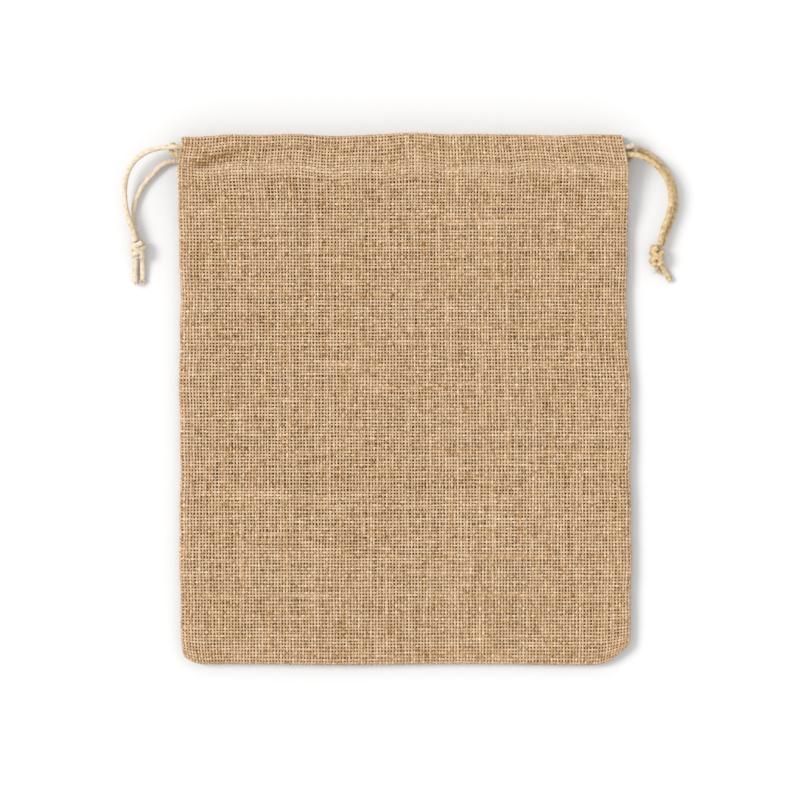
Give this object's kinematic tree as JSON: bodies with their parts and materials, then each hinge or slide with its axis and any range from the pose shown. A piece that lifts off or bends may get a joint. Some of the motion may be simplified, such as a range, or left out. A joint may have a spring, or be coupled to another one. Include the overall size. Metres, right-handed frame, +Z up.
{
  "type": "drawstring gift pouch",
  "caption": "Flat rectangular pouch of coarse plain-weave jute cloth with a double drawstring in a stitched casing at its mouth.",
  "frame": {"origin": "on the floor under the middle of the pouch's outline, cords left out", "axes": "+Y towards the mouth, +X to the right as seen from above, +Z up from the floor, square to the front cloth"},
  "size_m": [0.3083, 0.294, 0.0156],
  "materials": {
    "jute_cloth": "coarse undyed jute, open plain weave, dark between the yarns",
    "sewing_thread": "thin natural thread",
    "left_cord_twine": "cream twisted cotton cord, matte",
    "right_cord_twine": "golden twisted cotton cord, matte"
  },
  "bodies": {
    "pouch": {"front_panel": "jute_cloth", "back_panel": "jute_cloth", "front_casing_hem": "jute_cloth", "back_casing_hem": "jute_cloth", "left_side_seam": "jute_cloth", "right_side_seam": "jute_cloth", "bottom_seam": "jute_cloth", "front_casing_stitching": "sewing_thread", "back_casing_stitching": "sewing_thread", "left_seam_stitching": "sewing_thread", "right_seam_stitching": "sewing_thread", "bottom_seam_stitching": "sewing_thread"},
    "left_cord": {"left_cord_run": "left_cord_twine"},
    "left_end": {"left_strand_front": "left_cord_twine", "left_strand_back": "left_cord_twine", "left_knot": "left_cord_twine", "left_tail_outer": "left_cord_twine", "left_tail_inner": "left_cord_twine"},
    "right_cord": {"right_cord_run": "right_cord_twine"},
    "right_end": {"right_strand_front": "right_cord_twine", "right_strand_back": "right_cord_twine", "right_knot": "right_cord_twine", "right_tail_outer": "right_cord_twine", "right_tail_inner": "right_cord_twine"}
  },
  "joints": [
    {"name": "left_cord_pull", "type": "slide", "parent": "pouch", "child": "left_cord", "axis": [-1, 0, 0], "range_m": [0, 0.092], "deforming": ["front_casing_hem", "back_casing_hem", "left_side_seam", "right_side_seam", "front_casing_stitching", "back_casing_stitching", "left_seam_stitching", "right_seam_stitching"]},
    {"name": "right_cord_pull", "type": "slide", "parent": "pouch", "child": "right_cord", "axis": [1, 0, 0], "range_m": [0, 0.092]},
    {"name": "left_end_swing", "type": "hinge", "parent": "left_cord", "child": "left_end", "pos_m": [-0.127, 0.1358, 0.0078], "axis": [0, 0, 1], "range_deg": [-80, 12], "deforming": ["left_strand_front", "left_strand_back"]},
    {"name": "right_end_swing", "type": "hinge", "parent": "right_cord", "child": "right_end", "pos_m": [0.124, 0.1372, 0.0078], "axis": [0, 0, 1], "range_deg": [-9, 80], "deforming": ["right_strand_front", "right_strand_back"]}
  ],
  "couplings": [
    {"joint": "right_cord_pull", "follows": "left_cord_pull", "ratio": 1}
  ]
}
